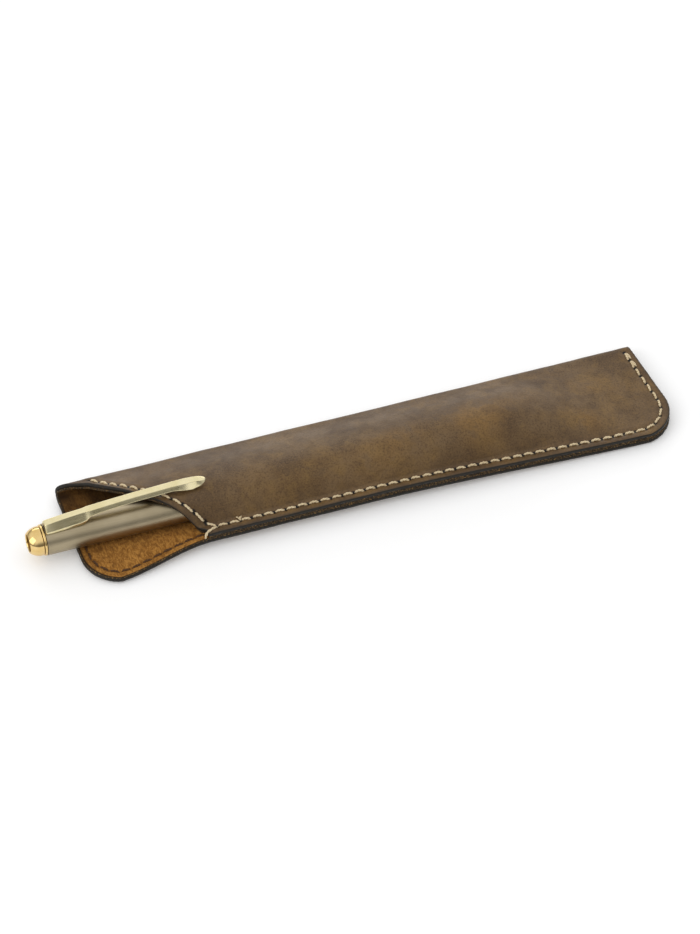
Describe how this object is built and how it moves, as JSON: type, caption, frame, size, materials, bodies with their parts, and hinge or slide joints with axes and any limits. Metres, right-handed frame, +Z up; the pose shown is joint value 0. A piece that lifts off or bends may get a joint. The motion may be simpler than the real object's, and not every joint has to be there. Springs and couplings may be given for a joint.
{
  "type": "fountain pen case",
  "caption": "Folded, stitched leather sleeve with a suede lining and a diagonal mouth, holding a slim capped fountain pen that slides out.",
  "frame": {"origin": "centre of the underside of the whole assembly's box, on the surface that it lies on", "axes": "+X along the sleeve and pen, towards the closed end; +Y from the sewn seam towards the fold; +Z up, towards the flap"},
  "size_m": [0.1722, 0.0354, 0.0153],
  "materials": {
    "outer_leather": "dark brown oiled pull-up leather, mottled, black painted edges",
    "suede_lining": "tan suede, napped",
    "sewing_thread": "cream waxed polyester thread",
    "dark_thread": "brown bobbin thread sunk in the suede",
    "brushed_steel": "champagne satin steel",
    "gold_plate": "polished pale gold plate",
    "black_resin": "polished black resin",
    "matte_resin": "matte black moulded plastic",
    "clear_resin": "clear smoke-free converter tube",
    "rubber_seal": "black rubber",
    "brass_insert": "machined brass"
  },
  "bodies": {
    "sleeve": {"outer_leather": "outer_leather", "suede_lining": "suede_lining", "seam_needle_thread": "sewing_thread", "seam_bobbin_thread": "sewing_thread", "edge_needle_thread": "sewing_thread", "edge_bobbin_thread": "dark_thread"},
    "barrel": {"barrel_tube": "brushed_steel", "barrel_thread_ring": "brass_insert", "barrel_tail_cap": "gold_plate"},
    "section": {"grip_section": "black_resin", "section_clutch_ring": "gold_plate", "nib_collar": "matte_resin", "nib": "gold_plate", "feed": "matte_resin", "converter_tube": "clear_resin", "converter_collar": "brass_insert", "converter_housing": "brass_insert"},
    "cap": {"cap_finial": "gold_plate", "cap_ring": "gold_plate", "cap_tube": "brushed_steel", "inner_cap": "matte_resin", "cap_lip_band": "gold_plate"},
    "clip": {"pen_clip": "gold_plate"},
    "piston": {"converter_piston": "matte_resin", "piston_seal": "rubber_seal", "piston_rod": "matte_resin"},
    "knob": {"converter_knob": "black_resin"}
  },
  "joints": [
    {"name": "pen_slide", "type": "slide", "parent": "sleeve", "child": "barrel", "axis": [-1, 0, 0], "range_m": [0, 0.14]},
    {"name": "section_pull", "type": "slide", "parent": "barrel", "child": "section", "axis": [-1, 0, 0], "range_m": [0, 0.06]},
    {"name": "cap_pull", "type": "slide", "parent": "section", "child": "cap", "axis": [-1, 0, 0], "range_m": [0, 0.065]},
    {"name": "clip_flex", "type": "hinge", "parent": "cap", "child": "clip", "pos_m": [-0.08015, -0.0022, 0.01025], "axis": [0, -1, 0], "range_deg": [0, 4], "stiffness_Nm_per_rad": 0.2},
    {"name": "knob_turn", "type": "hinge", "parent": "section", "child": "knob", "pos_m": [0.02575, -0.0022, 0.00605], "axis": [1, 0, 0], "range_deg": [0, 720]},
    {"name": "piston_slide", "type": "slide", "parent": "section", "child": "piston", "axis": [-1, 0, 0], "range_m": [0, 0.014]}
  ],
  "couplings": [
    {"joint": "knob_turn", "follows": "piston_slide", "rad_per_m": 897.51}
  ]
}
